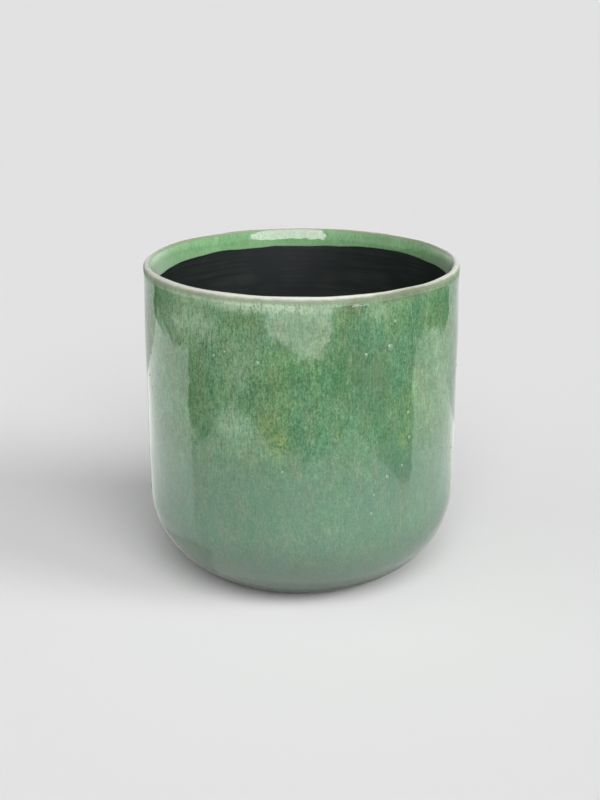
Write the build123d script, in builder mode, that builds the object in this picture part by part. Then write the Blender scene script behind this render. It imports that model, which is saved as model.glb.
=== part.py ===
from build123d import *
import os
from math import acos, asin, cos, degrees, radians, sin

# A round glazed stoneware cachepot: a clay body, a green glaze coat that runs over the lip,
# a dark sealing coat inside, and felt pads under the foot ring.
# Sizes are millimetres. Z is the axis of the pot, and Z = 0 is the surface that it stands on.

# Driving dimensions: the outside
outer_diameter = 240.0  # across the finished glaze
overall_height = 245.0  # from the table to the top of the glazed lip
heel_radius = 68.0  # the round between the wall and the foot, on the finished glaze

# Driving dimensions: the clay
clay_wall = 6.2
clay_floor = 7.0  # above the hollow under the base
inner_corner_radius = 60.0  # between the inner wall and the floor
lip_flare_depth = 10.0  # the wall thins over this depth, on the inside, up to the lip

# Driving dimensions: the foot ring
foot_diameter = 136.0
foot_ring_width = 14.0
foot_hollow_depth = 3.0
foot_edge_radius = 0.7
foot_trim_height = 1.2  # bare clay between the foot ring and the edge of the glaze

# Driving dimensions: the coats
glaze_thickness = 0.8
glaze_edge_radius = 0.5
green_band_depth = 14.0  # from the top of the lip down to the dark coat
dark_coat_thickness = 0.4

# Driving dimensions: the felt pads
pad_count = 4
pad_diameter = 12.0
pad_thickness = 1.2
pad_edge_radius = 0.4
pad_start_angle = 45.0

# The clay stands inside the glaze by the thickness of the coat
outer_radius = outer_diameter / 2
clay_outer_radius = outer_radius - glaze_thickness
clay_inner_radius = clay_outer_radius - clay_wall

# The lip is a quarter circle outside its crest and a quarter ellipse inside, where the mouth flares
lip_radius = clay_wall / 2
crest_level = overall_height - glaze_thickness
lip_level = crest_level - lip_radius
flare_level = crest_level - lip_flare_depth
lip_centre = (clay_inner_radius + lip_radius, lip_level)
flare_centre = (clay_inner_radius + lip_radius, flare_level)

# The foot ring stands on the pads
foot_level = pad_thickness
foot_outer_radius = foot_diameter / 2
foot_inner_radius = foot_outer_radius - foot_ring_width
hollow_level = foot_level + foot_hollow_depth
floor_level = hollow_level + clay_floor

# The heel is an arc that is level with the wall at the top and meets the foot ring at the bottom
clay_heel_radius = heel_radius - glaze_thickness
heel_centre_radius = outer_radius - heel_radius
foot_angle = degrees(acos((foot_outer_radius - heel_centre_radius) / clay_heel_radius))
heel_level = foot_level + clay_heel_radius * sin(radians(foot_angle))
heel_centre = (heel_centre_radius, heel_level)

# The glaze stops above the foot ring, and below the lip on the inside
glaze_angle = degrees(asin((heel_level - foot_level - foot_trim_height) / clay_heel_radius))
band_level = overall_height - green_band_depth
band_radius = clay_inner_radius - glaze_thickness
lip_skin_radius = lip_radius + glaze_thickness
flare_skin_depth = lip_flare_depth + glaze_thickness
inner_corner_centre = (clay_inner_radius - inner_corner_radius, floor_level + inner_corner_radius)

os.makedirs("parts", exist_ok=True)

# Clay body
with BuildPart() as clay_body:
    with BuildSketch(Plane.XZ):
        with BuildLine():
            floor = Line((0, floor_level), (inner_corner_centre[0], floor_level))
            inner_corner = CenterArc(inner_corner_centre, inner_corner_radius, -90, 90)
            inner_wall = Line(inner_corner @ 1, (clay_inner_radius, flare_level))
            flare = EllipticalCenterArc(flare_centre, lip_radius, lip_flare_depth, 90, arc_size=90)
            lip = CenterArc(lip_centre, lip_radius, 90, -90)
            outer_wall = Line(lip @ 1, (clay_outer_radius, heel_level))
            heel = CenterArc(heel_centre, clay_heel_radius, 0, -foot_angle)
            foot_face = Line(heel @ 1, (foot_inner_radius, foot_level))
            hollow_slope = Line(foot_face @ 1, (foot_inner_radius - foot_hollow_depth, hollow_level))
            hollow = Line(hollow_slope @ 1, (0, hollow_level))
            Line(hollow @ 1, floor @ 0)
        make_face()
    revolve(axis=Axis.Z)
    foot_edges = clay_body.edges().filter_by(GeomType.CIRCLE).group_by(Axis.Z)[0]
    fillet(foot_edges, radius=foot_edge_radius)
clay_body.part.label = "clay_body"
export_step(clay_body.part, "parts/clay_body.step")

# Green glaze, from the edge above the foot over the lip to the edge inside the mouth
with BuildPart() as outer_glaze:
    with BuildSketch(Plane.XZ) as glaze_section:
        with BuildLine():
            heel_skin = CenterArc(heel_centre, heel_radius, -glaze_angle, glaze_angle)
            wall_skin = Line(heel_skin @ 1, (outer_radius, lip_level))
            lip_skin = CenterArc(lip_centre, lip_skin_radius, 0, 90)
            flare_skin = EllipticalCenterArc(flare_centre, lip_skin_radius, flare_skin_depth, 90, arc_size=90)
            band_skin = Line((band_radius, flare_level), (band_radius, band_level))
            band_edge = Line(band_skin @ 1, (clay_inner_radius, band_level))
            band_bed = Line(band_edge @ 1, (clay_inner_radius, flare_level))
            flare_bed = EllipticalCenterArc(flare_centre, lip_radius, lip_flare_depth, 90, arc_size=90)
            lip_bed = CenterArc(lip_centre, lip_radius, 90, -90)
            wall_bed = Line(lip_bed @ 1, (clay_outer_radius, heel_level))
            heel_bed = CenterArc(heel_centre, clay_heel_radius, 0, -glaze_angle)
            Line(heel_bed @ 1, heel_skin @ 0)
        make_face()
        lower_corner = glaze_section.vertices().sort_by(Axis.Y)[0]
        fillet(lower_corner, radius=glaze_edge_radius)
    revolve(axis=Axis.Z)
outer_glaze.part.label = "outer_glaze"
export_step(outer_glaze.part, "parts/outer_glaze.step")

# Dark sealing coat on the inner wall and the floor
with BuildPart() as inner_coat:
    with BuildSketch(Plane.XZ):
        with BuildLine():
            floor_bed = Line((0, floor_level), (inner_corner_centre[0], floor_level))
            corner_bed = CenterArc(inner_corner_centre, inner_corner_radius, -90, 90)
            coat_bed = Line(corner_bed @ 1, (clay_inner_radius, band_level))
            coat_edge = Line(coat_bed @ 1, (clay_inner_radius - dark_coat_thickness, band_level))
            coat_skin = Line(coat_edge @ 1, (clay_inner_radius - dark_coat_thickness, inner_corner_centre[1]))
            corner_skin = CenterArc(inner_corner_centre, inner_corner_radius - dark_coat_thickness, 0, -90)
            floor_skin = Line(corner_skin @ 1, (0, floor_level + dark_coat_thickness))
            Line(floor_skin @ 1, floor_bed @ 0)
        make_face()
    revolve(axis=Axis.Z)
inner_coat.part.label = "inner_coat"
export_step(inner_coat.part, "parts/inner_coat.step")

# Felt pads, spaced evenly along the middle of the foot ring
pad_circle_radius = foot_outer_radius - foot_ring_width / 2
for index in range(pad_count):
    pad_angle = radians(pad_start_angle + index * 360 / pad_count)
    pad_centre = (pad_circle_radius * cos(pad_angle), pad_circle_radius * sin(pad_angle))
    with BuildPart() as felt_pad:
        with BuildSketch(Plane.XY):
            with Locations(pad_centre):
                Circle(pad_diameter / 2)
        extrude(amount=pad_thickness)
        fillet(felt_pad.edges().group_by(Axis.Z)[0], radius=pad_edge_radius)
    felt_pad.part.label = f"felt_pad_{index + 1}"
    export_step(felt_pad.part, f"parts/felt_pad_{index + 1}.step")
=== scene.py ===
"""The looks of a green glazed cachepot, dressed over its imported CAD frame.

The pot is made of its own pieces: the stoneware body, the reactive glaze that runs over its lip, the dark
sealing coat inside, and the felt pads that it stands on. Sizes are millimetres until a mesh is made.
"""

import logging
import math
from collections.abc import Callable
from dataclasses import dataclass, field
from enum import Enum
from functools import partial

import bmesh
import bpy
import numpy as np
from bpy.types import Material, NodeSocket, NodeTree, Object
from mathutils import Matrix, Vector


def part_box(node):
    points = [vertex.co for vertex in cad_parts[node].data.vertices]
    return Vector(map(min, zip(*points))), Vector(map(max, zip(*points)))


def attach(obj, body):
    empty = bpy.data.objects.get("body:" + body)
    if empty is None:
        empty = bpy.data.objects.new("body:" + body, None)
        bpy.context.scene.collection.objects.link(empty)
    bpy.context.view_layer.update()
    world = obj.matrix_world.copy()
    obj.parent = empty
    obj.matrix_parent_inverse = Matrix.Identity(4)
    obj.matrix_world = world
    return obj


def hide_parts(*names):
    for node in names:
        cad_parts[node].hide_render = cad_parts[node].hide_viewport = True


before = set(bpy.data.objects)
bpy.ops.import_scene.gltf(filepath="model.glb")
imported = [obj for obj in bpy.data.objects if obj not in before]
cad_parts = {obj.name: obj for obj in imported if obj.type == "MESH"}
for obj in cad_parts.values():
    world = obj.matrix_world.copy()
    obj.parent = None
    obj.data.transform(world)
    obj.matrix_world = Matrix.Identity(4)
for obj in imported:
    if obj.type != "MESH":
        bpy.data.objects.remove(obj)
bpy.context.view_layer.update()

LOG = logging.getLogger("cachepot")
MM = 0.001
FRONT = -math.pi / 2

# A flat card's corners, in metres.
Outline = tuple[tuple[float, float, float], ...]


class Slot(Enum):
    """The record's material slots."""

    CLAY = "clay"
    GREEN_GLAZE = "green_glaze"
    DARK_COAT = "dark_coat"
    FELT = "felt"


def linear(hex_colour: str) -> tuple[float, float, float, float]:
    """Turns an sRGB colour into the linear one that Blender's sockets take.

    Args:
        hex_colour: The colour as "#RRGGBB".

    Returns:
        Linear red, green and blue, with an alpha of 1.
    """
    shares = [int(hex_colour[i : i + 2], 16) / 255 for i in (1, 3, 5)]
    red, green, blue = (c / 12.92 if c <= 0.04045 else ((c + 0.055) / 1.055) ** 2.4 for c in shares)
    return red, green, blue, 1.0


def per_metre(size: float) -> float:
    """How many patches of a pattern go into a metre, where each is so many millimetres across."""
    return 1 / (size * MM)


class Kind(Enum):
    """The shader nodes in use: a type, the inputs that values go to in turn, the output and the settings.

    A Mix node has a set of sockets for each kind of value, and 6, 7 and 2 are the ones for colours.
    """

    PLACE = ("TexCoord", (), "Object")
    SPOTS = ("Attribute", (), "Fac")
    LEVEL = ("SeparateXYZ", ("Vector",), "Z")
    LENGTH = ("VectorMath", (0,), "Value", {"operation": "LENGTH"})
    STRETCH = ("VectorMath", (0, 1), 0, {"operation": "MULTIPLY"})
    NOISE = (
        "TexNoise",
        ("Vector", "Scale", "Detail", "W"),
        0,
        {"noise_dimensions": "4D", "Roughness": 0.55},
    )
    EASE = ("MapRange", ("Value", "From Min", "From Max"), 0, {"interpolation_type": "SMOOTHSTEP"})
    SPAN = ("MapRange", ("Value", "From Min", "From Max", "To Min", "To Max"), 0)
    PLUS = ("Math", (0, 1), 0, {"operation": "ADD"})
    LESS = ("Math", (0, 1), 0, {"operation": "SUBTRACT"})
    TIMES = ("Math", (0, 1), 0, {"operation": "MULTIPLY"})
    TIMES_PLUS = ("Math", (0, 1, 2), 0, {"operation": "MULTIPLY_ADD"})
    MOST = ("Math", (0, 1), 0, {"operation": "MAXIMUM"})
    ANGLE = ("Math", (0, 1), 0, {"operation": "ARCTAN2"})
    OVER = ("Mix", (0, 6, 7), 2, {"data_type": "RGBA", "blend_type": "MIX"})
    TINT = ("Mix", (0, 6, 7), 2, {"data_type": "RGBA", "blend_type": "COLOR"})
    BUMP = ("Bump", ("Height", "Strength", "Distance"), "Normal")
    SURFACE = ("BsdfPrincipled", ("Base Color", "Roughness", "Normal"), 0)
    DULL = ("BsdfDiffuse", ("Color",), 0)
    GLOW = ("Emission", ("Color", "Strength"), 0)
    ROOM = ("Background", ("Color", "Strength"), 0)
    EITHER = ("MixShader", (0, 1, 2), 0)
    CAMERA_RAY = ("LightPath", (), "Is Camera Ray")
    GLOSSY_RAY = ("LightPath", (), "Is Glossy Ray")
    TRANSMISSION_RAY = ("LightPath", (), "Is Transmission Ray")
    OUTPUT = ("OutputMaterial", ("Surface",), None)
    WORLD = ("OutputWorld", ("Surface",), None)

    def __init__(
        self,
        node: str,
        inputs: tuple[str | int, ...],
        output: str | int | None,
        settings: dict[str, object] | None = None,
    ) -> None:
        """Keeps what the member's row says.

        Args:
            node: The node's type without the "ShaderNode" in front.
            inputs: The inputs that values go to, in turn.
            output: The output in use, if it has one.
            settings: Properties, and inputs by name, that are the same each time.
        """
        self.node = node
        self.inputs = inputs
        self.output = output
        self.settings = settings or {}


def add_node(tree: NodeTree, kind: Kind, *values: object, **settings: object) -> NodeSocket | None:
    """Adds one shader node with its settings, values and links.

    Args:
        tree: The node tree that it goes into.
        kind: What it is.
        values: For each of its inputs in turn, a value to set or an output socket to link.
        settings: More of its properties, or inputs by name.

    Returns:
        The output in use, if it has one.
    """
    node = tree.nodes.new("ShaderNode" + kind.node)
    for name, value in (kind.settings | settings).items():
        if name in node.inputs:
            node.inputs[name].default_value = value
        else:
            setattr(node, name, value)
    for key, value in zip(kind.inputs, values):
        if isinstance(value, NodeSocket):
            tree.links.new(value, node.inputs[key])
        else:
            node.inputs[key].default_value = value
    return None if kind.output is None else node.outputs[kind.output]


def new_material(name: str) -> tuple[Material, Callable[..., NodeSocket | None]]:
    """Makes an empty node material.

    Args:
        name: The material's name.

    Returns:
        The material, and add_node for its tree.
    """
    material = bpy.data.materials.new(name)
    material.use_nodes = True
    material.node_tree.nodes.clear()
    return material, partial(add_node, material.node_tree)


def arc(
    centre: tuple[float, float], radii: tuple[float, float], start: float, end: float, step: float
) -> np.ndarray:
    """Points along an arc of an ellipse in the pot's profile.

    Args:
        centre: Radius and level of the arc's centre.
        radii: Half widths of the ellipse along the radius and the level.
        start: First angle in degrees, from straight out and positive upwards.
        end: Last angle.
        step: Longest distance between points.

    Returns:
        An array of (radius, level) rows.
    """
    sweep = np.radians(np.array([start, end]))
    count = max(3, math.ceil(abs(sweep[1] - sweep[0]) * max(radii) / step) + 1)
    turn = np.linspace(sweep[0], sweep[1], count)
    return np.stack([centre[0] + radii[0] * np.cos(turn), centre[1] + radii[1] * np.sin(turn)], axis=1)


def straight(start: tuple[float, float], end: tuple[float, float], step: float) -> np.ndarray:
    """Points along a straight line of the pot's profile, both ends among them.

    Args:
        start: First (radius, level).
        end: Last (radius, level).
        step: Longest distance between points.

    Returns:
        An array of (radius, level) rows.
    """
    count = max(2, math.ceil(math.dist(start, end) / step) + 1)
    return np.linspace(start, end, count)


def joined(*runs: np.ndarray) -> np.ndarray:
    """Puts runs of a profile one after another, without the points that two runs share.

    Args:
        runs: Arrays of (radius, level) rows.

    Returns:
        One array of (radius, level) rows.
    """
    profile = np.concatenate(runs)
    apart = np.linalg.norm(np.diff(profile, axis=0), axis=1) > 1e-4
    return profile[np.concatenate([[True], apart])]


def outward(profile: np.ndarray) -> np.ndarray:
    """Normals of a profile that runs with the outside of the piece on its right.

    Args:
        profile: An array of (radius, level) rows.

    Returns:
        Unit normals, one row for each point.
    """
    along = np.gradient(profile, axis=0)
    normals = np.stack([along[:, 1], -along[:, 0]], axis=1)
    return normals / np.linalg.norm(normals, axis=1, keepdims=True)


def travelled(profile: np.ndarray) -> np.ndarray:
    """Distance along a profile from its first point to each point."""
    return np.concatenate([[0.0], np.cumsum(np.linalg.norm(np.diff(profile, axis=0), axis=1))])


def smooth_step(low: float, high: float, value: np.ndarray) -> np.ndarray:
    """Eases from 0 at low to 1 at high."""
    share = np.clip((value - low) / (high - low), 0.0, 1.0)
    return share * share * (3 - 2 * share)


def round_angles(segments: int) -> np.ndarray:
    """Angles round the pot, from the front and positive to its right, as a column."""
    return np.linspace(0, 2 * math.pi, segments, endpoint=False)[:, None]


def turned(name: str, radius: np.ndarray, level: np.ndarray, closed: bool) -> Object:
    """Makes a turned mesh from the radius and level of each of its points.

    Args:
        name: The object's name.
        radius: Radii in millimetres, with a row for each angle and a column for each point of the profile.
        level: Levels in millimetres, laid out in the same way.
        closed: True if the profile comes back to its first point, and False if it runs from axis to axis.

    Returns:
        The new object, shaded smooth.
    """
    segments, rows = radius.shape
    angle = round_angles(segments) + FRONT
    points = np.stack([radius * np.cos(angle), radius * np.sin(angle), level], axis=2).reshape(-1, 3) * MM
    turn, row = np.meshgrid(np.arange(segments), np.arange(rows if closed else rows - 1), indexing="ij")
    next_turn, next_row = (turn + 1) % segments, (row + 1) % rows
    corners = ((turn, row), (next_turn, row), (next_turn, next_row), (turn, next_row))
    faces = np.stack([a * rows + b for a, b in corners], axis=2).reshape(-1, 4)
    return mesh_object(name, points, faces.tolist(), merge=not closed)


def mesh_object(name: str, points: np.ndarray, faces: list[list[int]], merge: bool = False) -> Object:
    """Makes a smooth-shaded mesh object in the scene.

    Args:
        name: The object's name.
        points: Points in metres.
        faces: For each face, the numbers of its points.
        merge: True to join points that lie on each other.

    Returns:
        The new object.
    """
    mesh = bpy.data.meshes.new(name)
    mesh.from_pydata(points.tolist(), [], faces)
    if merge:
        work = bmesh.new()
        work.from_mesh(mesh)
        bmesh.ops.remove_doubles(work, verts=work.verts, dist=1e-7)
        work.to_mesh(mesh)
        work.free()
    mesh.shade_smooth()
    made = bpy.data.objects.new(name, mesh)
    bpy.context.scene.collection.objects.link(made)
    return made


def raised(profile: np.ndarray, lift: np.ndarray) -> tuple[np.ndarray, np.ndarray]:
    """Lifts the first points of a profile off its surface, at each angle round the pot.

    Args:
        profile: An array of (radius, level) rows.
        lift: Heights in millimetres, with a row for each angle and a column for each point that is lifted.

    Returns:
        The radius and the level of each point, with a row for each angle.
    """
    segments, rows = lift.shape
    normals = outward(profile[:rows])
    radius, level = (np.tile(column, (segments, 1)) for column in profile.T)
    radius[:, :rows] += lift * normals[:, 0]
    level[:, :rows] += lift * normals[:, 1]
    return radius, level


def dress(piece: Object, material: Material) -> None:
    """Gives a piece its material and slot, and lets it ride on the pot's one body.

    Args:
        piece: The piece to dress.
        material: Its finish.
    """
    piece.data.materials.append(material)
    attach(piece, "root")
    LOG.info("%s: %d faces, %s", piece.name, len(piece.data.polygons), material.name)


@dataclass(frozen=True)
class Ripple:
    """A seeded sum of waves over the pot's surface.

    Each wave has a whole number of crests round the pot, so the pattern meets itself without a seam.
    """

    height: float
    around: tuple[float, float]
    along: tuple[float, float]
    seed: int
    count: int = 48

    def at(self, angle: np.ndarray, along: np.ndarray, radius: float) -> np.ndarray:
        """Heights of the ripple.

        Args:
            angle: Angles round the pot, as a column.
            along: Distances up the wall, as a row.
            radius: The radius at which the waves have their length.

        Returns:
            Heights in millimetres, with a row for each angle.
        """
        chance = np.random.default_rng(self.seed)
        total = np.zeros((angle.shape[0], along.shape[-1]))
        for _ in range(self.count):
            crests = max(1, round(2 * math.pi * radius / chance.uniform(*self.around)))
            rate = 2 * math.pi / chance.uniform(*self.along) * chance.choice((-1, 1))
            total += np.cos(crests * angle + rate * along + chance.uniform(0, 2 * math.pi))
        return self.height * total / math.sqrt(self.count / 2)


@dataclass(frozen=True)
class Spot:
    """A place on the wall, by its angle from the front in degrees and its level, with a size."""

    angle: float
    level: float
    width: float
    height: float = 0.0
    strength: float = 1.0
    inside: bool = False


@dataclass(frozen=True)
class PotSizes:
    """The pot's sizes, from the frame where its boxes give them and from the part elsewhere."""

    outer_radius: float
    height: float
    clay_radius: float
    inner_radius: float
    band_level: float
    floor_level: float
    foot_level: float
    heel_radius: float = 68.0
    glaze_thickness: float = 0.8
    coat_thickness: float = 0.4
    inner_corner: float = 60.0
    foot_radius: float = 68.0
    foot_ring_width: float = 14.0
    foot_hollow: float = 3.0
    foot_trim: float = 1.2
    lip_shoulder: float = 10.8

    @classmethod
    def from_frame(cls) -> "PotSizes":
        """Reads the sizes that the CAD nodes' boxes give."""
        glaze, clay, coat = (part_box(node) for node in ("outer_glaze", "clay_body", "inner_coat"))
        return cls(
            outer_radius=glaze[1].x / MM,
            height=glaze[1].z / MM,
            clay_radius=clay[1].x / MM,
            inner_radius=coat[1].x / MM,
            band_level=coat[1].z / MM,
            floor_level=coat[0].z / MM,
            foot_level=clay[0].z / MM,
        )

    @property
    def lip_centre(self) -> float:
        """Radius of the lip's crest."""
        return (self.clay_radius + self.inner_radius) / 2

    @property
    def lip_round(self) -> float:
        """Radius of the lip's outer round, on the glaze."""
        return self.outer_radius - self.lip_centre

    @property
    def heel_centre(self) -> tuple[float, float]:
        """Radius and level of the centre of the heel's arc."""
        radius = self.outer_radius - self.heel_radius
        clay_heel = self.heel_radius - self.glaze_thickness
        rise = math.sqrt(clay_heel**2 - (self.foot_radius - radius) ** 2)
        return radius, self.foot_level + rise

    @property
    def corner(self) -> tuple[float, float]:
        """Radius and level of the centre of the round between the inner wall and the floor."""
        return self.inner_radius - self.inner_corner, self.floor_level + self.inner_corner

    def heel_angle(self, level: float) -> float:
        """The heel's angle below level at a level on the clay, in degrees."""
        clay_heel = self.heel_radius - self.glaze_thickness
        return math.degrees(math.asin((self.heel_centre[1] - level) / clay_heel))

    def outside(self, inset: float, start: float, step: float, flare: float | None = None) -> np.ndarray:
        """The profile from the heel up the wall, over the lip and down to the wall inside.

        Args:
            inset: How far the profile lies under the finished glaze.
            start: The heel's angle below level at which the profile begins.
            step: Longest distance between points.
            flare: How far the flare reaches below the crest, where it isn't the part's own depth.

        Returns:
            An array of (radius, level) rows that ends at the level of the lip's inner shoulder.
        """
        heel = self.heel_radius - inset
        lip = self.lip_round - inset
        depth = self.lip_shoulder if flare is None else flare
        shoulder = depth - inset
        lip_level = self.height - self.lip_round
        shoulder_level = self.height - depth
        wall = self.outer_radius - inset
        return joined(
            arc(self.heel_centre, (heel, heel), -start, 0, step),
            straight((wall, self.heel_centre[1]), (wall, lip_level), step),
            arc((self.lip_centre, lip_level), (lip, lip), 0, 90, step / 3),
            arc((self.lip_centre, shoulder_level), (lip, shoulder), 90, 180, step / 2),
        )


@dataclass(frozen=True)
class ReactiveGlaze:
    """Reactive stoneware glaze, poured over the pot and fired until it ran.

    The eye sees glassy jade with a fine upright grain where the glaze ran, teal and olive clouds where it
    lies thick or thin, ochre where iron came through, a greyer green low down, and a dry beige edge on the
    lip. The real grain is finer, and is as coarse here as it needs to be to show.
    """

    deep: str = "#436845"
    jade: str = "#5D845B"
    mint: str = "#83A77F"
    teal: str = "#5C8D72"
    olive: str = "#7A9868"
    earth: str = "#87896A"
    spring: str = "#4D9C69"
    celadon: str = "#5C7A6C"
    foot_grey: str = "#5C665C"
    # Painted shade for the lowest millimetres of the heel, next to the floor.
    painted_heel_shade: str = "#2F3D33"
    ochre: str = "#93A45F"
    slate: str = "#55705E"
    rust: str = "#565C3E"
    pale: str = "#B2C9AA"
    band: str = "#86B67F"
    band_deep: str = "#5F985E"
    band_edge: str = "#AAD2A5"
    # Colour of the painted reflection at both ends of the band inside the mouth.
    painted_sheen: str = "#CBE3C8"
    cream: str = "#C4C9BC"
    burnt: str = "#82876E"
    ior: float = 1.7
    roughness: float = 0.07
    dry_roughness: float = 0.95
    cloud_size: float = 30.0
    warm_size: float = 20.0
    cool_size: float = 18.0
    tint_size: float = 10.0
    mottle_size: float = 6.0
    grain_size: float = 1.15
    streak_width: float = 1.2
    streak_length: float = 7.0
    lip_radius: float = 116.1
    lip_level: float = 241.1

    def material(self) -> Material:
        """Builds the glaze's material.

        Returns:
            The material, with its patterns laid out in the pot's own coordinates.
        """
        made, add = new_material("reactive_stoneware_glaze")
        place = add(Kind.PLACE)
        run = add(Kind.STRETCH, place, (1.0, 1.0, self.streak_width / self.streak_length))
        sagged = add(Kind.STRETCH, place, (1.0, 1.0, 0.7))
        hung = add(Kind.STRETCH, place, (1.0, 1.0, 0.4))
        clouds = add(Kind.NOISE, sagged, per_metre(self.cloud_size), 2.0, 1.3)
        mottle = add(Kind.NOISE, sagged, per_metre(self.mottle_size), 3.0, 2.1)
        grain = add(Kind.NOISE, sagged, per_metre(self.grain_size), 1.0, 3.7)
        streaks = add(Kind.NOISE, run, per_metre(self.streak_width), 1.0, 4.2)
        level = add(Kind.LEVEL, place)
        radius = add(Kind.LENGTH, add(Kind.STRETCH, place, (1.0, 1.0, 0.0)))

        # How thin the glaze lies: clouds, the mottle within them, and the grain and streaks that it ran in.
        thin = 0.0
        for pattern, share in ((clouds, 0.16), (mottle, 0.22), (grain, 0.36), (streaks, 0.26)):
            thin = add(Kind.TIMES_PLUS, pattern, share, thin)
        green = add(Kind.OVER, add(Kind.EASE, thin, 0.36, 0.53), linear(self.deep), linear(self.jade))
        green = add(Kind.OVER, add(Kind.EASE, thin, 0.48, 0.68), green, linear(self.mint))

        # Its colour drifts over a finger's breadth, and more where it lay thick or thin in places.
        for size, seed, spots, colour in (
            (self.warm_size, 5.9, "warm", self.olive),
            (self.cool_size, 8.4, "cool", self.teal),
        ):
            drift = add(Kind.EASE, add(Kind.NOISE, hung, per_metre(size), 2.0, seed), 0.42, 0.66)
            drift = add(Kind.MOST, add(Kind.TIMES, drift, 0.38), add(Kind.SPOTS, attribute_name=spots))
            green = add(Kind.TINT, drift, green, linear(colour))

        # It is greyer low down and drifts finely to brown and green. In its lowest millimetres, where the
        # heel turns under towards the floor, it is darkened with painted shade.
        lower = add(Kind.TIMES, add(Kind.EASE, level, 160 * MM, 90 * MM), 0.6)
        green = add(Kind.OVER, lower, green, linear(self.celadon))
        for seed, colour in ((12.7, self.earth), (15.2, self.spring)):
            tint = add(Kind.EASE, add(Kind.NOISE, hung, per_metre(self.tint_size), 1.0, seed), 0.45, 0.68)
            green = add(Kind.TINT, add(Kind.TIMES, tint, 0.2), green, linear(colour))
        for start, end, share, colour in ((75, 15, 0.7, self.foot_grey), (18, 2, 0.85, self.painted_heel_shade)):
            lower = add(Kind.TIMES, add(Kind.EASE, level, start * MM, end * MM), share)
            green = add(Kind.OVER, lower, green, linear(colour))

        # Just under the lip it is thin in patches, and paler.
        broken = add(Kind.EASE, mottle, 0.32, 0.56)
        patchy = add(Kind.EASE, thin, 0.3, 0.56)
        under = add(Kind.TIMES, add(Kind.EASE, level, 231 * MM, 240 * MM), patchy)
        under = add(Kind.TIMES, under, add(Kind.EASE, clouds, 0.4, 0.62))
        green = add(Kind.OVER, add(Kind.TIMES, under, 0.28), green, linear(self.pale))

        # The spots that the shell keeps as attributes, each broken up by a pattern.
        rusty = add(Kind.SPOTS, attribute_name="rust")
        flecks = add(Kind.EASE, add(Kind.PLUS, mottle, grain), 0.78, 1.18)
        for spots, pattern, colour in (
            (add(Kind.SPOTS, attribute_name="dusk"), broken, self.slate),
            (add(Kind.SPOTS, attribute_name="iron"), flecks, self.ochre),
            (rusty, broken, self.rust),
            (add(Kind.SPOTS, attribute_name="pale"), patchy, self.pale),
        ):
            green = add(Kind.OVER, add(Kind.TIMES, spots, pattern), green, linear(colour))

        # The lip's own angle: none where the wall begins, a quarter turn at the crest, more in the mouth.
        up = add(Kind.LESS, level, self.lip_level * MM)
        out = add(Kind.LESS, radius, self.lip_radius * MM)
        lip = add(Kind.TIMES_PLUS, add(Kind.LESS, mottle, 0.5), 0.6, add(Kind.ANGLE, up, out))
        drawn = add(Kind.TIMES_PLUS, add(Kind.SPOTS, attribute_name="retreat"), -0.5, lip)
        upper = add(Kind.EASE, level, 215 * MM, 220 * MM)

        # Inside the mouth the glaze lies thin over pale clay and is a lighter green.
        mouth = add(Kind.TIMES, add(Kind.EASE, out, 0.0, -1.2 * MM), upper)
        lining = add(Kind.OVER, add(Kind.EASE, thin, 0.28, 0.72), linear(self.band_deep), linear(self.band))
        edge = add(Kind.TIMES, add(Kind.EASE, level, 241 * MM, 231 * MM), 0.4)
        lining = add(Kind.OVER, edge, lining, linear(self.band_edge))
        green = add(Kind.OVER, add(Kind.TIMES, mouth, 0.75), green, lining)
        # Pale spots at both ends of the band inside are a painted reflection, and on the left painted light
        # as well.
        green = add(Kind.OVER, add(Kind.SPOTS, attribute_name="painted_sheen"), green, linear(self.painted_sheen))

        # Over the lip it drew back: a brown line, a thin pale glaze on the crest, and a dry skin below.
        zones = []
        for start, end in (
            ((-0.45, 0.05), (2.5, 2.1)),
            ((0.35, 1.2), (1.7, 1.5)),
            ((-0.9, -0.3), (1.2, 0.9)),
        ):
            zone = add(Kind.TIMES, add(Kind.EASE, drawn, *start), add(Kind.EASE, lip, *end))
            zones.append(add(Kind.TIMES, zone, upper))
        line, bare, dry = zones
        line = add(Kind.TIMES, line, add(Kind.TIMES_PLUS, grain, 0.9, 0.25, use_clamp=True))
        brown = add(Kind.OVER, add(Kind.TIMES, rusty, 0.75), linear(self.burnt), linear(self.rust))
        colour = add(Kind.OVER, line, green, brown)
        colour = add(Kind.OVER, bare, colour, linear(self.cream))
        rough = add(Kind.SPAN, dry, 0.0, 1.0, self.roughness, self.dry_roughness)

        # The grain stands a few hundredths of a millimetre proud, which breaks the edges of reflections.
        relief = add(Kind.BUMP, add(Kind.PLUS, grain, streaks), 0.15, 0.03 * MM)
        add(Kind.OUTPUT, add(Kind.SURFACE, colour, rough, relief, IOR=self.ior))
        return made


@dataclass(frozen=True)
class BlisterGlaze:
    """The same glaze where gas rose through it and left a thin, pale, healed skin.

    The eye sees a small pale bead that catches the light.
    """

    pale: str = "#7EA182"
    mint: str = "#608365"
    ior: float = 1.7
    roughness: float = 0.32
    grain_size: float = 1.2

    def material(self) -> Material:
        """Builds the blisters' material.

        Returns:
            The material, with a fine uneven skin.
        """
        made, add = new_material("healed_glaze_blister")
        grain = add(Kind.NOISE, add(Kind.PLACE), per_metre(self.grain_size), 1.0, 0.8)
        colour = add(Kind.OVER, add(Kind.EASE, grain, 0.35, 0.65), linear(self.mint), linear(self.pale))
        relief = add(Kind.BUMP, grain, 0.3, 0.05 * MM)
        add(Kind.OUTPUT, add(Kind.SURFACE, colour, self.roughness, relief, IOR=self.ior))
        return made


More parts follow.
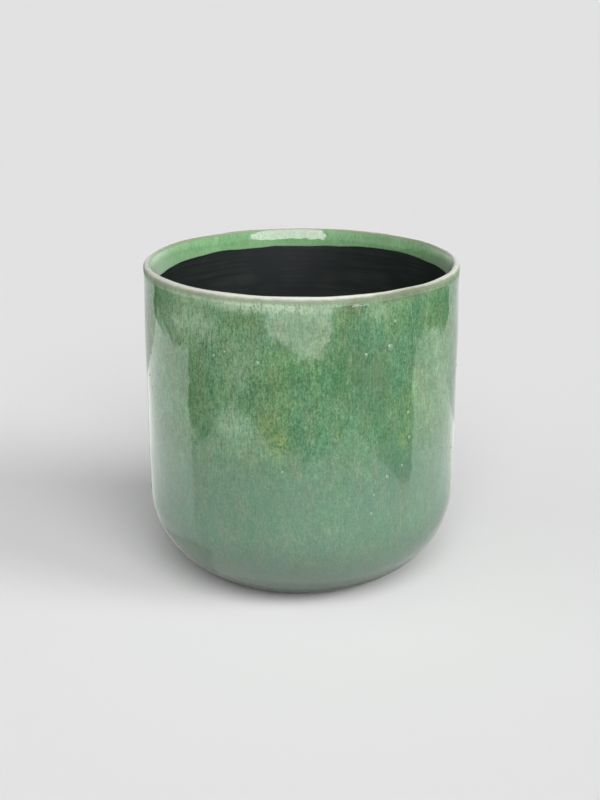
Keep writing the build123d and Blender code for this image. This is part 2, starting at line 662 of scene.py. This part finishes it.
@dataclass(frozen=True)
class SealingCoat:
    """Dark matt engobe, brushed on inside while the pot turned on the wheel.

    The eye sees a near-black that takes little light, with faint level rings from the brush.
    """

    dark: str = "#1B211F"
    worn: str = "#272D2A"
    ring_height: float = 2.6
    ring_length: float = 60.0
    patch_size: float = 30.0
    roughness: float = 0.5
    specular: float = 0.2

    def material(self) -> Material:
        """Builds the coat's material.

        Returns:
            The material, with its brush marks laid level round the pot.
        """
        made, add = new_material("brushed_dark_engobe")
        place = add(Kind.PLACE)
        long = self.ring_height / self.ring_length
        swept = add(Kind.STRETCH, place, (long, long, 1.0))
        marks = add(Kind.NOISE, swept, per_metre(self.ring_height), 3.0, 1.7)
        patches = add(Kind.NOISE, place, per_metre(self.patch_size), 2.0, 2.9)
        worn = add(Kind.EASE, add(Kind.TIMES, marks, patches), 0.2, 0.42)
        colour = add(Kind.OVER, worn, linear(self.dark), linear(self.worn))
        relief = add(Kind.BUMP, marks, 0.08, 0.15 * MM)
        gloss = {"Specular IOR Level": self.specular}
        add(Kind.OUTPUT, add(Kind.SURFACE, colour, self.roughness, relief, **gloss))
        return made


@dataclass(frozen=True)
class BareStoneware:
    """Buff stoneware, turned on the wheel and left bare where it stands.

    The eye sees a dry pale clay with dark iron specks and a fine grog grain.
    """

    pale: str = "#827A6B"
    shade: str = "#665E50"
    speck: str = "#51462F"
    cloud_size: float = 14.0
    speck_size: float = 0.9
    grog_size: float = 0.5
    roughness: float = 0.85

    def material(self) -> Material:
        """Builds the clay's material.

        Returns:
            The material, with its specks and grog.
        """
        made, add = new_material("bare_buff_stoneware")
        place = add(Kind.PLACE)
        clouds = add(Kind.NOISE, place, per_metre(self.cloud_size), 3.0, 0.4)
        grog = add(Kind.NOISE, place, per_metre(self.grog_size), 2.0, 1.9)
        specks = add(Kind.NOISE, place, per_metre(self.speck_size), 1.0, 6.3)
        body = add(Kind.OVER, add(Kind.EASE, clouds, 0.3, 0.7), linear(self.pale), linear(self.shade))
        colour = add(Kind.OVER, add(Kind.EASE, specks, 0.69, 0.75), body, linear(self.speck))
        relief = add(Kind.BUMP, grog, 0.6, 0.08 * MM)
        add(Kind.OUTPUT, add(Kind.SURFACE, colour, self.roughness, relief))
        return made


@dataclass(frozen=True)
class PressedFelt:
    """Needled wool felt, pressed to a sheet and punched into discs.

    The eye sees a dull grey of crossed fibres with no shine and a soft pale edge. Real wool is finer, and
    the fibres are as coarse here as they need to be to show.
    """

    grey: str = "#5B5853"
    pale: str = "#84807A"
    fibre_width: float = 0.25
    fibre_length: float = 2.0
    roughness: float = 0.95
    sheen: float = 0.3

    def material(self) -> Material:
        """Builds the felt's material.

        Returns:
            The material, with two layers of fibres that cross.
        """
        made, add = new_material("pressed_wool_felt")
        place = add(Kind.PLACE)
        narrow = self.fibre_width / self.fibre_length
        layers = []
        for drawn_out in ((1.0, narrow, 1.0), (narrow, 1.0, 1.0)):
            combed = add(Kind.STRETCH, place, drawn_out)
            layers.append(add(Kind.NOISE, combed, per_metre(self.fibre_width), 2.0, 0.6))
        fibres = add(Kind.MOST, *layers)
        colour = add(Kind.OVER, add(Kind.EASE, fibres, 0.45, 0.72), linear(self.grey), linear(self.pale))
        relief = add(Kind.BUMP, fibres, 0.8, 0.15 * MM)
        gloss = {"Sheen Weight": self.sheen}
        add(Kind.OUTPUT, add(Kind.SURFACE, colour, self.roughness, relief, **gloss))
        return made


@dataclass
class GlazeCoat:
    """The glaze: a thin shell over the outside, the lip and the top of the inner wall."""

    sizes: PotSizes
    segments: int = 400
    step: float = 1.6
    edge_round: float = 0.3
    lean_in: float = 0.65
    flare: float = 13.2
    swell: Ripple = Ripple(height=0.09, around=(38, 90), along=(38, 90), seed=11)
    drape: Ripple = Ripple(height=0.012, around=(8, 13), along=(9, 22), seed=23)
    fine_drape: Ripple = Ripple(height=0.005, around=(5, 9), along=(6, 16), seed=27)
    band_ripple: Ripple = Ripple(height=0.022, around=(7, 18), along=(6, 16), seed=29)
    edge_wander: Ripple = Ripple(height=0.2, around=(18, 90), along=(1e6, 2e6), seed=31)
    edge_sag: float = 0.5
    edge_reach: float = 9.0
    edge_dip: Spot = Spot(angle=-104, level=231, width=34, strength=3.6)
    edge_rise: Spot = Spot(angle=140, level=231, width=45, strength=2.4)
    dusk_spots: tuple[Spot, ...] = (Spot(24, 182.0, 20, 36, 0.5), Spot(34, 130.0, 18, 24, 0.4))
    iron_spots: tuple[Spot, ...] = (
        Spot(-7.6, 139.4, 6, 8, 0.8),
        Spot(-11.9, 152.9, 5, 9, 0.5),
        Spot(37.8, 135.5, 5, 6, 0.5),
        Spot(12.5, 229.0, 8, 6, 0.15),
    )
    warm_spots: tuple[Spot, ...] = (
        Spot(-8.0, 150.0, 12, 18, 0.5),
        Spot(-6.3, 181.0, 10, 24, 0.5),
        Spot(10.5, 162.0, 7, 17, 0.4),
        Spot(12.2, 227.0, 11, 10, 0.6),
        Spot(41.0, 166.0, 8, 20, 0.5),
        Spot(-24.0, 226.0, 12, 8, 0.4),
    )
    cool_spots: tuple[Spot, ...] = (
        Spot(-0.2, 154.0, 9, 24, 0.5),
        Spot(6.5, 136.5, 14, 9, 0.6),
        Spot(0.1, 178.8, 9, 8, 0.5),
        Spot(-13.3, 216.5, 13, 8, 0.45),
        Spot(41.0, 113.0, 10, 14, 0.4),
        Spot(24.8, 146.1, 9, 9, 0.35),
        Spot(-26, 150.0, 20, 18, 0.5),
    )
    pale_spots: tuple[Spot, ...] = (
        Spot(-14, 238.0, 40, 5, 0.95),
        Spot(26, 232.0, 13, 6, 0.3),
        Spot(-26, 150.0, 20, 18, 0.22),
        Spot(-24, 200.0, 26, 34, 0.2),
        Spot(-42, 220.0, 34, 17, 0.5),
    )
    # Painted reflection at both ends of the band inside, and painted light on the left.
    painted_sheen_spots: tuple[Spot, ...] = (
        Spot(-90, 240.0, 38, 40, 1.0, inside=True),
        Spot(88, 240.0, 38, 40, 1.0, inside=True),
    )
    retreat_spots: tuple[Spot, ...] = (Spot(40, 243.0, 36, 10, 0.85),)
    rust_spots: tuple[Spot, ...] = (
        Spot(17.0, 236.0, 9, 4, 0.9),
        Spot(38, 243.0, 36, 5.5, 0.85),
        Spot(-12.5, 155.0, 4, 6, 0.3),
    )
    chance_spots: int = 26
    pips: tuple[Spot, ...] = (
        Spot(30.8, 205.8, 2.3, 0.8),
        Spot(21.7, 202.6, 1.3, 0.5),
        Spot(32.6, 224.0, 1.3, 0.5),
        Spot(-14.7, 198.3, 1.5, 0.5),
        Spot(-30.7, 200.1, 0.9, 0.4),
        Spot(-26.4, 203.5, 0.9, 0.4),
        Spot(39.4, 154.4, 1.3, 0.5),
        Spot(40.2, 135.0, 1.3, 0.5),
        Spot(37.2, 114.9, 0.9, 0.4),
        Spot(30.8, 108.6, 1.5, 0.5),
        Spot(25.7, 96.8, 0.9, 0.4),
        Spot(24.7, 82.3, 1.3, 0.4),
        Spot(-6.5, 119.1, 0.8, 0.4),
    )
    chance_pips: int = 34
    finish: ReactiveGlaze = field(default_factory=ReactiveGlaze)
    blister: BlisterGlaze = field(default_factory=BlisterGlaze)

    def build(self) -> None:
        """Builds the shell and its pips and dresses both."""
        material = self.finish.material()
        shell = self.build_shell()
        dress(shell, material)
        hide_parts("outer_glaze")
        dress(self.build_pips(), self.blister.material())

    def build_shell(self) -> Object:
        """Builds the glaze's mesh: its skin, its two edges and the bed that it lies on.

        Returns:
            The shell, with the places of each colour kept as attributes.
        """
        sizes = self.sizes
        start = sizes.heel_angle(sizes.foot_level + sizes.foot_trim)
        band_radius = sizes.lip_centre - sizes.lip_round
        skin = joined(
            sizes.outside(0.0, start - 0.4, self.step, self.flare),
            straight(
                (band_radius, sizes.height - self.flare),
                (band_radius, sizes.band_level + self.edge_round),
                self.step / 2,
            ),
        )
        bed = joined(
            sizes.outside(sizes.glaze_thickness, start, self.step * 6),
            straight(
                (sizes.inner_radius, sizes.height - sizes.lip_shoulder),
                (sizes.inner_radius, sizes.band_level),
                self.step,
            ),
        )
        turn_in = np.array([[band_radius + self.edge_round, sizes.band_level]])
        profile = np.concatenate([skin, turn_in, bed[::-1]])
        rows = len(skin)

        angle = round_angles(self.segments)
        along = travelled(skin)
        hold = smooth_step(6, 60, along) * smooth_step(0, 3, along[-1] - along)
        waves = (self.swell, self.drape, self.fine_drape)
        lift = sum(wave.at(angle, along, sizes.outer_radius) for wave in waves)
        inside = smooth_step(0.5, 2.0, sizes.lip_centre - skin[:, 0])
        lift += self.band_ripple.at(angle, along, sizes.inner_radius) * inside
        radius, level = raised(profile, lift * hold)
        outer_side = np.clip((skin[:, 0] - sizes.lip_centre) / sizes.lip_round, 0, 1)
        radius[:, :rows] -= self.lean_in * smooth_step(185, 238, skin[:, 1]) * outer_side
        level -= self.edge_drop(angle) * self.near_edge(profile)

        shell = turned("glaze_coat", radius, level, closed=True)
        # Round the back and the sides iron comes through by chance.
        chance = np.random.default_rng(7)
        limits = ((75, 285), (90, 235), (5, 12), (0.25, 0.8))
        draws = [chance.uniform(low, high, self.chance_spots) for low, high in limits]
        scattered = tuple(Spot(a, z, w, w * 1.4, s) for a, z, w, s in zip(*draws))
        for name, spots in (
            ("iron", self.iron_spots + scattered),
            ("rust", self.rust_spots),
            ("dusk", self.dusk_spots),
            ("retreat", self.retreat_spots),
            ("warm", self.warm_spots),
            ("cool", self.cool_spots),
            ("pale", self.pale_spots),
            ("painted_sheen", self.painted_sheen_spots),
        ):
            self.paint(shell, name, spots, angle, radius, level)
        return shell

    def near_edge(self, profile: np.ndarray) -> np.ndarray:
        """How far each point of the profile follows the wandering edge inside the mouth.

        Args:
            profile: An array of (radius, level) rows.

        Returns:
            A share for each point, 1 at the edge and 0 at the lip's shoulder and outside.
        """
        inside = profile[:, 0] < self.sizes.lip_centre - 1
        low = smooth_step(self.edge_reach, 0, profile[:, 1] - self.sizes.band_level)
        above = profile[:, 1] > self.sizes.band_level - 1
        return np.where(inside & above, low, 0.0)

    def edge_drop(self, angle: np.ndarray) -> np.ndarray:
        """How far the edge inside the mouth hangs below its own level.

        Args:
            angle: Angles round the pot, as a column.

        Returns:
            Drops in millimetres, as a column, less than nothing where the edge rises.
        """
        wander = self.edge_wander.at(angle, np.zeros((1, 1)), self.sizes.inner_radius)
        drop = np.clip(wander + self.edge_sag, 0, None)
        for place, sign in ((self.edge_dip, 1), (self.edge_rise, -1)):
            away = np.angle(np.exp(1j * (angle - math.radians(place.angle)))) * self.sizes.inner_radius
            drop = drop + sign * place.strength * np.exp(-((away / place.width) ** 2))
        return drop

    def paint(
        self,
        shell: Object,
        name: str,
        spots: tuple[Spot, ...],
        angle: np.ndarray,
        radius: np.ndarray,
        level: np.ndarray,
    ) -> None:
        """Keeps how strongly a few soft spots show at each point of the shell.

        Args:
            shell: The glaze's object.
            name: The attribute's name.
            spots: The spots.
            angle: Angles round the pot, as a column.
            radius: Each point's radius.
            level: Each point's level.
        """
        shown = np.zeros_like(level)
        for spot in spots:
            away = np.angle(np.exp(1j * (angle - math.radians(spot.angle)))) * self.sizes.outer_radius
            up = level - spot.level
            soft = spot.strength * np.exp(-((away / spot.width) ** 2) - (up / spot.height) ** 2)
            same_side = (radius < self.sizes.lip_centre) == spot.inside
            shown = np.maximum(shown, np.where(same_side, soft, 0.0))
        kept = shell.data.attributes.new(name, "FLOAT", "POINT")
        kept.data.foreach_set("value", shown.astype(np.float32).ravel())

    def build_pips(self) -> Object:
        """Builds the small blisters that gas left in the glaze.

        Returns:
            One object with a low dome for each pip.
        """
        chance = np.random.default_rng(19)
        angles = chance.uniform(50, 310, self.chance_pips)
        levels = chance.uniform(80, 232, self.chance_pips)
        widths = chance.uniform(0.5, 1.1, self.chance_pips)
        scattered = tuple(Spot(a, z, w, w * 0.45) for a, z, w in zip(angles, levels, widths))
        points, faces = [], []
        segments, rings = 14, 6
        widest_lean, sunk, upright = math.radians(112), 0.04, 1.1
        for spot in self.pips + scattered:
            turn = math.radians(spot.angle) + FRONT
            out = np.array([math.cos(turn), math.sin(turn), 0.0])
            side = np.array([-math.sin(turn), math.cos(turn), 0.0])
            middle = out * self.sizes.outer_radius + np.array([0, 0, spot.level])
            first = len(points)
            for ring in range(rings):
                lean = widest_lean * (1 - ring / (rings - 1))
                for k in range(segments):
                    around = 2 * math.pi * k / segments
                    across = spot.width * math.sin(lean) * math.cos(around)
                    up = spot.width * math.sin(lean) * math.sin(around) * upright
                    proud = spot.height * math.cos(lean) - sunk
                    points.append(middle + out * proud + side * across + np.array([0, 0, up]))
            for ring in range(rings - 1):
                for k in range(segments):
                    a, b = first + ring * segments + k, first + ring * segments + (k + 1) % segments
                    faces.append([a, b, b + segments, a + segments])
        return mesh_object("glaze_pips", np.array(points) * MM, faces, merge=True)


@dataclass
class InnerCoat:
    """The dark coat on the inner wall and floor. Its top is tucked under the glaze."""

    sizes: PotSizes
    segments: int = 240
    step: float = 1.8
    tuck: float = 3.2
    rings: Ripple = Ripple(height=0.01, around=(240, 760), along=(5, 12), seed=41)
    finish: SealingCoat = field(default_factory=SealingCoat)

    def build(self) -> None:
        """Builds the coat as a thin shell with throwing rings and dresses it."""
        skin = self.run(self.sizes.coat_thickness, self.step)
        bed = self.run(0.0, self.step * 4)
        along = travelled(skin)
        hold = smooth_step(0, 6, along) * smooth_step(0, 20, skin[:, 0])
        lift = self.rings.at(round_angles(self.segments), along, self.sizes.inner_radius) * hold
        radius, level = raised(np.concatenate([skin, bed[::-1]]), lift)
        coat = turned("sealing_coat", radius, level, closed=True)
        dress(coat, self.finish.material())
        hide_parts("inner_coat")

    def run(self, proud: float, step: float) -> np.ndarray:
        """The profile from the top of the coat down the wall and in over the floor.

        Args:
            proud: How far the profile stands off the clay.
            step: Longest distance between points.

        Returns:
            An array of (radius, level) rows that ends on the axis.
        """
        corner = self.sizes.corner
        wall = self.sizes.inner_radius - proud
        bend = self.sizes.inner_corner - proud
        floor = self.sizes.floor_level + proud
        return joined(
            straight((wall, self.sizes.band_level + self.tuck), (wall, corner[1]), step),
            arc(corner, (bend, bend), 0, -90, step),
            straight((corner[0], floor), (0.0, floor), step),
        )


@dataclass
class ClayBody:
    """The stoneware body with its turned foot."""

    sizes: PotSizes
    segments: int = 200
    step: float = 3.0
    turning_pitch: float = 1.8
    turning_depth: float = 0.06
    finish: BareStoneware = field(default_factory=BareStoneware)

    def build(self) -> None:
        """Builds the body from the middle of its base to the middle of its floor and dresses it."""
        sizes = self.sizes
        ring = sizes.foot_radius - sizes.foot_ring_width
        hollow = sizes.foot_level + sizes.foot_hollow
        corner = sizes.corner
        shoulder = (sizes.inner_radius, sizes.height - sizes.lip_shoulder)
        fine = self.turning_pitch / 5
        base = joined(
            straight((0.0, hollow), (ring - sizes.foot_hollow, hollow), fine),
            straight((ring - sizes.foot_hollow, hollow), (ring, sizes.foot_level), fine),
            straight((ring, sizes.foot_level), (sizes.foot_radius, sizes.foot_level), fine),
        )
        foot_angle = sizes.heel_angle(sizes.foot_level)
        profile = joined(
            base,
            sizes.outside(sizes.glaze_thickness, foot_angle - 0.5, self.step),
            straight(shoulder, (sizes.inner_radius, corner[1]), self.step),
            arc(corner, (sizes.inner_corner, sizes.inner_corner), 0, -90, self.step),
            straight((corner[0], sizes.floor_level), (0.0, sizes.floor_level), self.step),
        )
        angle = round_angles(self.segments)
        cut = 2 * math.pi * profile[:, 0] / self.turning_pitch + angle
        turned_part = np.where(np.arange(len(profile)) < len(base), 1.0, 0.0)
        turned_part *= smooth_step(1, 6, profile[:, 0])
        radius = np.tile(profile[:, 0], (self.segments, 1))
        level = profile[:, 1] + self.turning_depth * (1 + np.cos(cut)) * turned_part
        body = turned("stoneware_body", radius, level, closed=False)
        dress(body, self.finish.material())
        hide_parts("clay_body")


@dataclass
class FeltPads:
    """The felt pads glued under the foot ring."""

    count: int = 4
    segments: int = 56
    edge: float = 0.5
    crush: float = 0.06
    fuzz: Ripple = Ripple(height=0.035, around=(1.5, 5), along=(0.8, 2.5), seed=53)
    finish: PressedFelt = field(default_factory=PressedFelt)

    def build(self) -> None:
        """Builds each pad where its CAD node is and dresses it."""
        material = self.finish.material()
        for number in range(1, self.count + 1):
            node = f"felt_pad_{number}"
            low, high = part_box(node)
            pad = self.build_pad(f"felt_disc_{number}", low / MM, high / MM)
            dress(pad, material)
            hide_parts(node)

    def build_pad(self, name: str, low: Vector, high: Vector) -> Object:
        """Builds one pad as a punched disc with a soft, slightly crushed edge.

        Args:
            name: The pad's name.
            low: Lowest corner of its CAD node, in millimetres.
            high: Highest corner.

        Returns:
            The pad.
        """
        size = (high.x - low.x) / 2
        floor, top = low.z, high.z
        profile = joined(
            straight((0.0, floor), (size - self.edge, floor), 0.5),
            arc((size - self.edge, floor + self.edge), (self.edge, self.edge), -90, 0, 0.15),
            straight((size, floor + self.edge), (size, top - self.edge), 0.3),
            arc((size - self.edge, top - self.edge), (self.edge, self.edge), 0, 90, 0.15),
            straight((size - self.edge, top), (0.0, top), 0.5),
        )
        lift = self.fuzz.at(round_angles(self.segments), travelled(profile), size) - self.crush
        radius, level = raised(profile, lift * smooth_step(1, size, profile[:, 0]))
        pad = turned(name, radius, np.clip(level, floor, top), closed=False)
        centre = (low + high) / 2
        pad.data.transform(Matrix.Translation((centre.x * MM, centre.y * MM, 0.0)))
        return pad


@dataclass(frozen=True)
class SoftLight:
    """A broad light far off, by where it hangs, how wide it looks and its share of the floor's light."""

    name: str
    azimuth: float
    elevation: float
    spread: float
    share: float

    @property
    def towards(self) -> Vector:
        """The direction from the pot to the light."""
        rise, turn = math.radians(self.elevation), math.radians(self.azimuth)
        return Vector((math.cos(rise) * math.cos(turn), math.cos(rise) * math.sin(turn), math.sin(rise)))

    def hang(self) -> None:
        """Makes the lamp at the strength that gives the floor its share, unseen by reflections."""
        lamp = bpy.data.lights.new(self.name, "SUN")
        lamp.energy = self.share * math.pi / self.towards.z
        lamp.angle = math.radians(self.spread)
        hung = bpy.data.objects.new(self.name, lamp)
        hung.rotation_mode = "QUATERNION"
        hung.rotation_quaternion = self.towards.to_track_quat("Z", "Y")
        hung.visible_glossy = False
        bpy.context.scene.collection.objects.link(hung)


@dataclass(frozen=True)
class Card:
    """A card that only reflections see: its colour, how brightly it is lit, and its outlines.

    With a light for near the pot, it goes from that to its own between two distances from the foot's middle.
    That dimmer light near the pot is painted shade: the pot's shadow on the floor, as the reflections show
    it.
    """

    name: str
    colour: str
    lit: float
    outlines: tuple[Outline, ...]
    lit_near: float | None = None
    fades: tuple[float, float] = (0.15, 0.34)

    def place(self) -> None:
        """Makes the card, one face for each outline."""
        points = [corner for outline in self.outlines for corner in outline]
        faces, first = [], 0
        for outline in self.outlines:
            faces.append(list(range(first, first + len(outline))))
            first += len(outline)
        card = mesh_object(self.name, np.array(points, float), faces)
        material, add = new_material(self.name)
        lit = self.lit
        if self.lit_near is not None:
            away = add(Kind.LENGTH, add(Kind.PLACE))
            lit = add(Kind.SPAN, away, *self.fades, self.lit_near, self.lit)
        add(Kind.OUTPUT, add(Kind.GLOW, linear(self.colour), lit))
        card.data.materials.append(material)
        for ray in ("camera", "diffuse", "transmission", "shadow"):
            setattr(card, f"visible_{ray}", False)


def lying(*corners: tuple[float, float], level: float = MM) -> Outline:
    """Outline of a card that lies just over the floor."""
    return tuple((x, y, level) for x, y in corners)


def on_floor(left: float, right: float, front: float, back: float) -> Outline:
    """Outline of an oblong card that lies just over the floor."""
    return lying((left, front), (right, front), (right, back), (left, back))


def floor_ring(first: float, last: float, near: float, far: float, count: int) -> tuple[Outline, ...]:
    """Outlines that lie side by side round a part of a ring on the floor.

    Args:
        first: First angle in degrees, from the pot's right and positive towards its back.
        last: Last angle.
        near: Inner radius.
        far: Outer radius.
        count: How many angles there are.

    Returns:
        An outline for each two angles.
    """
    turns = np.radians(np.linspace(first, last, count))
    outlines = []
    for a, b in zip(turns[:-1], turns[1:]):
        corners = ((near, a), (far, a), (far, b), (near, b))
        outlines.append(lying(*((r * math.cos(t), r * math.sin(t)) for r, t in corners)))
    return tuple(outlines)


@dataclass
class Studio:
    """The pale floor, the light, the cards that shape reflections, and the camera."""

    paper: str = "#E3E3E3"
    black: str = "#1C1C1C"
    white: str = "#FFFFFF"
    rose: str = "#FFECFF"
    floor_reach: float = 60.0
    ambient: float = 0.12
    lights: tuple[SoftLight, ...] = (
        SoftLight("front_softbox", azimuth=-79, elevation=43, spread=52, share=0.56),
        SoftLight("right_softbox", azimuth=-21, elevation=25, spread=28, share=0.235),
        SoftLight("left_fill", azimuth=-158, elevation=23, spread=70, share=0.07),
    )
    camera_target: tuple[float, float, float] = (-0.0011, 0.0, 0.1318)
    camera_distance: float = 1.0207
    camera_elevation: float = 18.93
    lens: float = 58.37

    def build(self) -> None:
        """Builds the stage and sets the camera."""
        self.build_floor()
        for card in self.cards():
            card.place()
        for light in self.lights:
            light.hang()
        self.build_room()
        self.build_camera()
        bpy.context.scene.view_settings.view_transform = "Standard"
        LOG.info("studio: floor, cards, %d lights and camera", len(self.lights))

    def cards(self) -> tuple[Card, ...]:
        """The cards round the table.

        Where the glaze mirrors the table or a white card it looks pale, and where it mirrors a black one it
        keeps its own green.

        Returns:
            The cards.
        """
        left, right, front, side, wide = -0.45, 0.31, -0.46, -0.10, 4.0
        # At each side the black starts in an arc and leaves the room behind the pot pale.
        black = (
            on_floor(-wide, left, front, side),
            on_floor(right, wide, front, side),
            on_floor(-wide, wide, -wide, front),
            *floor_ring(-6.7, 34, 0.86, wide, 16),
            *floor_ring(186.7, 146, 0.86, wide, 16),
        )
        # The floor under the heel, in front and at the left, lies in the pot's own shadow, and these two dim
        # cards paint that shadow into the glaze's reflections.
        heel_front = floor_ring(222, 350, 0.07, 0.103, 24)
        heel_left = floor_ring(130, 222, 0.07, 0.15, 24)
        bright = ((-0.13, -0.905), (0.28, -0.87), (0.38, -0.96), (0.5, -2.4), (-0.6, -2.4), (-0.46, -0.98))
        left_card = ((-0.86, side), (-0.14, side), (-0.14, 0.06), (-0.27, 0.45), (-0.86, 0.45))
        window = ((-0.7, -2.0, 0.2), (1.7, -1.7, 0.2), (1.7, -1.7, 2.0), (-0.7, -2.0, 2.0))
        skylight = ((-0.7, -2.0, 2.0), (1.7, -1.7, 2.0), (0.55, -0.3, 3.2), (-0.25, -0.3, 3.2))
        overhead = ((-2.0, 1.4, 2.9), (2.0, 1.4, 2.9), (2.0, -0.1, 2.9), (-2.0, -0.1, 2.9))
        return (
            Card("black_flags", self.black, 1.0, black),
            Card("left_white_card", self.white, 1.35, (lying(*left_card),), lit_near=0.75),
            Card("right_white_card", self.white, 1.08, (on_floor(0.14, 0.86, side, 0.3),), lit_near=0.7),
            Card("window_on_floor", self.white, 2.15, (lying(*bright, level=2 * MM),)),
            Card("front_window", self.rose, 5.7, (window, skylight)),
            Card("overhead_softbox", self.white, 2.0, (overhead,)),
            Card("shade_in_front", self.white, 0.62, heel_front, lit_near=0.15, fades=(0.085, 0.103)),
            Card("shade_at_left", self.white, 0.5, heel_left, lit_near=0.2, fades=(0.085, 0.12)),
        )

    def build_floor(self) -> None:
        """Lays the pale paper that the pot stands on."""
        reach = self.floor_reach / 2
        corners = np.array([[-reach, -reach, 0], [reach, -reach, 0], [reach, reach, 0], [-reach, reach, 0]])
        floor = mesh_object("paper_floor", corners, [[0, 1, 2, 3]])
        material, add = new_material("pale_studio_paper")
        add(Kind.OUTPUT, add(Kind.DULL, linear(self.paper)))
        floor.data.materials.append(material)

    def build_room(self) -> None:
        """Fills the room with a little even light, and shows the paper's colour behind the pot."""
        world = bpy.data.worlds.new("studio_room")
        world.use_nodes = True
        world.node_tree.nodes.clear()
        add = partial(add_node, world.node_tree)
        seen = add(Kind.MOST, add(Kind.CAMERA_RAY), add(Kind.GLOSSY_RAY))
        seen = add(Kind.MOST, seen, add(Kind.TRANSMISSION_RAY))
        fill = add(Kind.ROOM, linear(self.white), self.ambient)
        backdrop = add(Kind.ROOM, linear(self.paper), 1.0)
        add(Kind.WORLD, add(Kind.EITHER, seen, fill, backdrop))
        bpy.context.scene.world = world

    def build_camera(self) -> None:
        """Sets the camera where the photograph was taken from."""
        rise = math.radians(self.camera_elevation)
        back = Vector((0.0, -math.cos(rise), math.sin(rise)))
        data = bpy.data.cameras.new("photo_camera")
        data.lens = self.lens
        data.sensor_width = 36.0
        data.clip_end = 200.0
        camera = bpy.data.objects.new("photo_camera", data)
        camera.location = Vector(self.camera_target) + back * self.camera_distance
        camera.rotation_mode = "QUATERNION"
        camera.rotation_quaternion = (-back).to_track_quat("-Z", "Y")
        bpy.context.scene.collection.objects.link(camera)
        bpy.context.scene.camera = camera


def main() -> None:
    """Builds the pot piece by piece, then the studio round it."""
    logging.basicConfig(level=logging.INFO, format="%(name)s: %(message)s")
    sizes = PotSizes.from_frame()
    ClayBody(sizes).build()
    GlazeCoat(sizes).build()
    InnerCoat(sizes).build()
    FeltPads().build()
    Studio().build()


if __name__ == "__main__":
    main()
